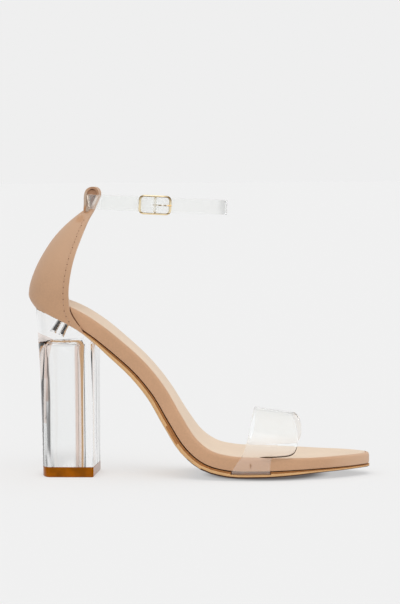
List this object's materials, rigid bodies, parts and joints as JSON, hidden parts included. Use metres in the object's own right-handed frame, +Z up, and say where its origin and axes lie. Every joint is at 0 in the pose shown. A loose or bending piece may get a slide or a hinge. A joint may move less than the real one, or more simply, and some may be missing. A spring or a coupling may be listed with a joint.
{
  "type": "block heel sandal",
  "caption": "Open sandal for the right foot with a clear block heel, a clear strap over the toes, a heel counter and a clear buckled ankle strap.",
  "frame": {"origin": "middle of the shoe's outline, on the floor it stands on", "axes": "+X to the toe, +Y to the inner (medial) side of a right foot, +Z up"},
  "size_m": [0.218, 0.0846, 0.1847],
  "materials": {
    "outsole": "matt tan sheet with a dark joint line",
    "nude_wrap": "fine-grained nude imitation leather, low sheen",
    "sock": "smooth cream cover",
    "clear_heel": "clear cast block, polished",
    "clear_strap": "clear soft sheet, glossy",
    "heel_tip": "brown, semi-gloss",
    "gold": "polished, gold coloured",
    "nail": "plain steel"
  },
  "bodies": {
    "root": {"outsole": "outsole", "footbed": "nude_wrap", "sock": "sock", "heel": "clear_heel", "heel_tip": "heel_tip", "heel_nail_1": "nail", "heel_nail_2": "nail", "counter": "nude_wrap", "vamp_strap": "clear_strap", "ankle_strap": "clear_strap", "buckle_frame": "gold", "buckle_prong": "gold"}
  },
  "joints": []
}
